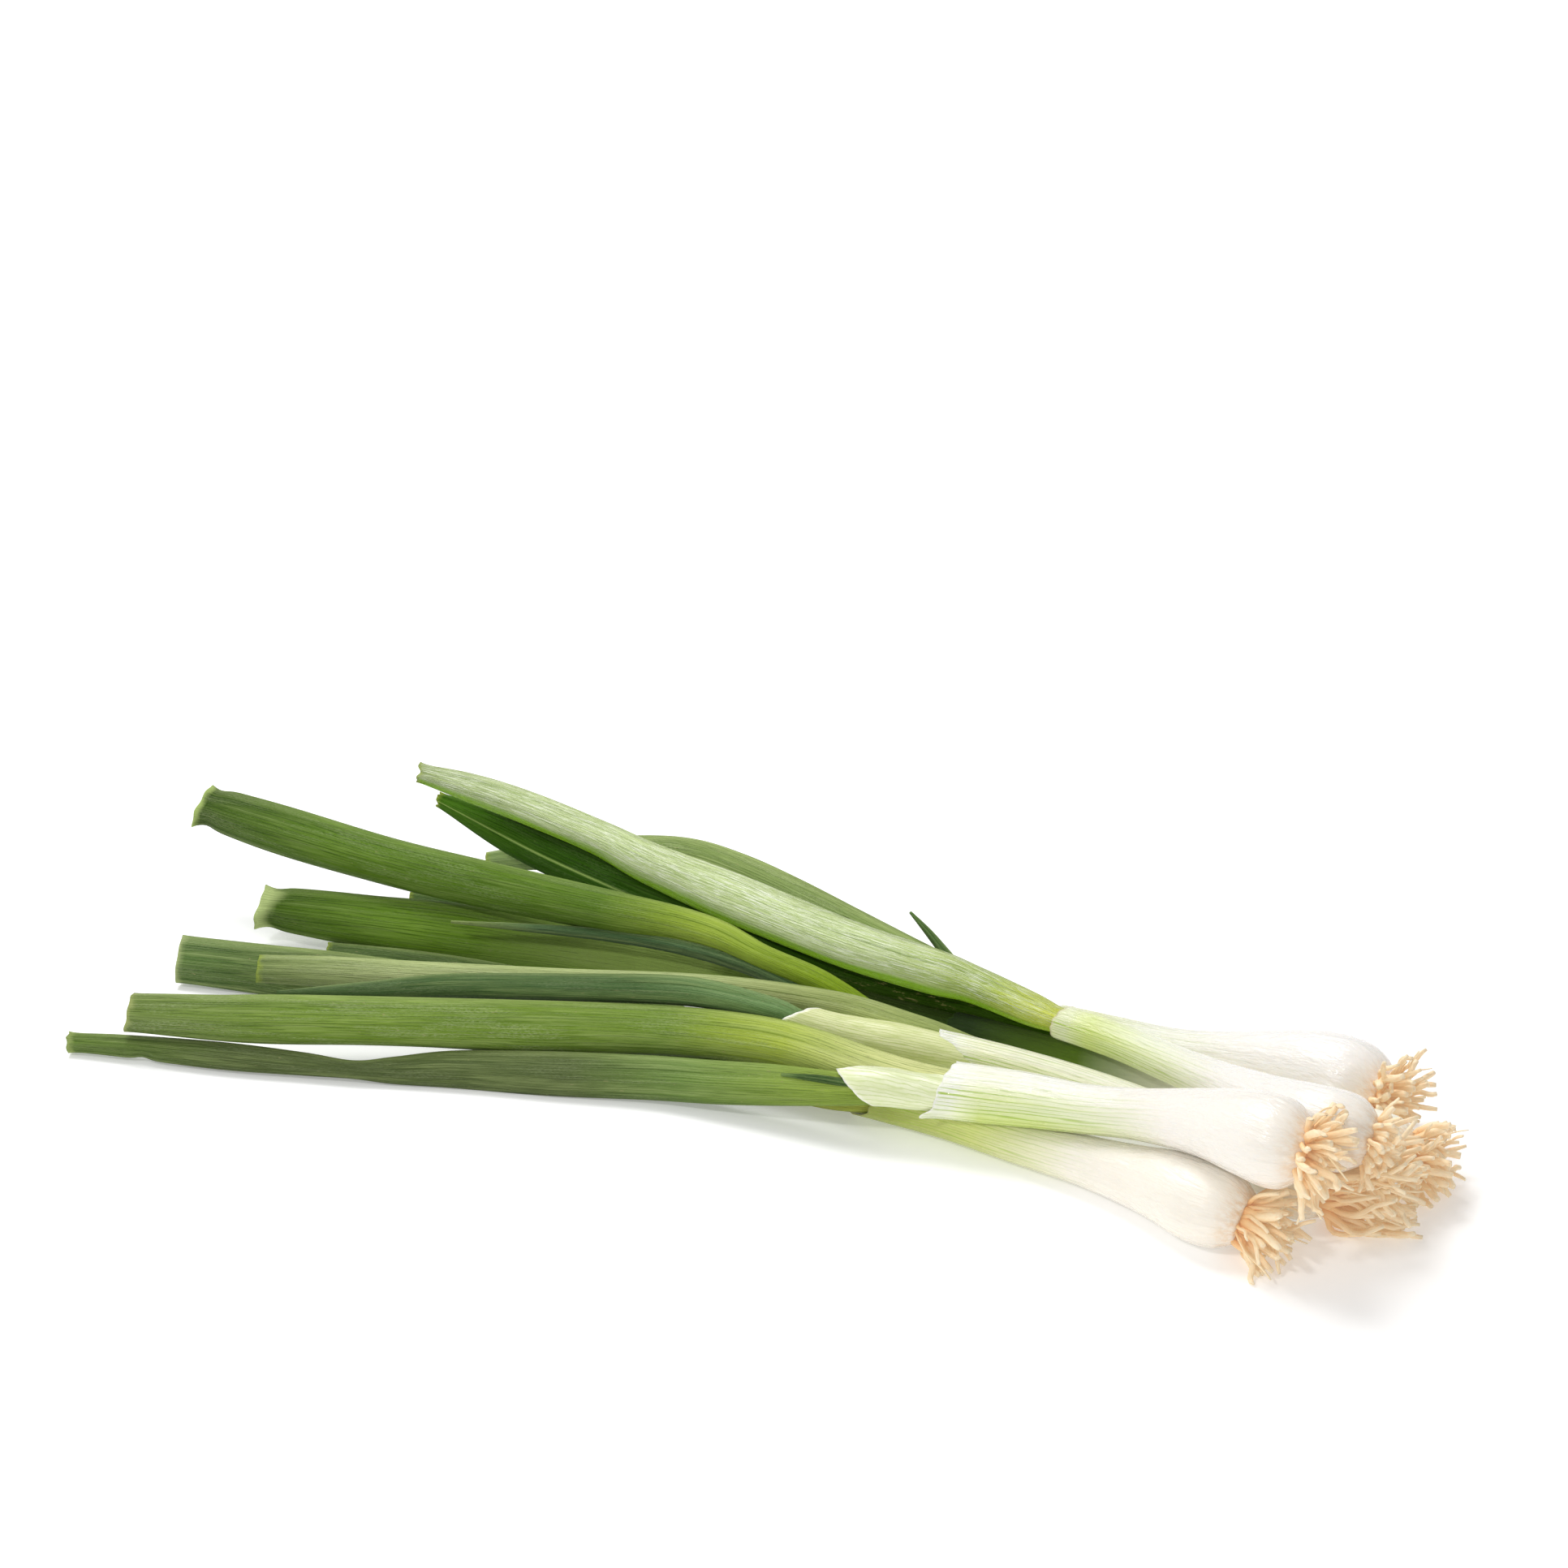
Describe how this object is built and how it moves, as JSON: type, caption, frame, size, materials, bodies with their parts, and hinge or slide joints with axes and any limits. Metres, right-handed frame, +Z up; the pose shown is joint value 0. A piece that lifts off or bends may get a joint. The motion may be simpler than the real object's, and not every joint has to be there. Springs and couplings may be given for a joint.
{
  "type": "spring onion bunch",
  "caption": "Loose bunch of fresh spring onions lying on its side, with white bulbs, cut roots, papery collars and trimmed hollow green leaves.",
  "frame": {"origin": "on the surface the bunch lies on, under the middle of its bounding box", "axes": "+X along the bunch toward the bulbs and roots, +Z up from the surface, -Y toward the picture's viewer"},
  "size_m": [0.362, 0.1336, 0.0417],
  "materials": {
    "shank": "moist, smooth white bulb fading to pale yellow-green, with fine lengthwise veins",
    "leaf": "waxy green leaf with fine lengthwise ribs and a light bloom",
    "young_leaf": "smooth darker green young leaf",
    "roots": "dry, matt, pale tan cut roots"
  },
  "bodies": {
    "root": {"leaf_a_low": "leaf", "leaf_a_side": "leaf", "leaf_b_lower": "leaf", "leaf_b_upper": "leaf", "leaf_b_young": "young_leaf", "leaf_c_top": "leaf", "leaf_c_under": "leaf", "leaf_c_young": "young_leaf", "leaf_d_back": "leaf", "leaf_e_inner": "leaf", "leaf_e_long": "leaf", "leaf_e_outer": "leaf", "leaf_e_young": "young_leaf", "leaf_f_low": "leaf", "leaf_f_mid": "leaf", "roots_a": "roots", "roots_b": "roots", "roots_c": "roots", "roots_d": "roots", "roots_e": "roots", "roots_f": "roots", "shank_a": "shank", "shank_b": "shank", "shank_c": "shank", "shank_d": "shank", "shank_e": "shank", "shank_f": "shank"}
  },
  "joints": []
}
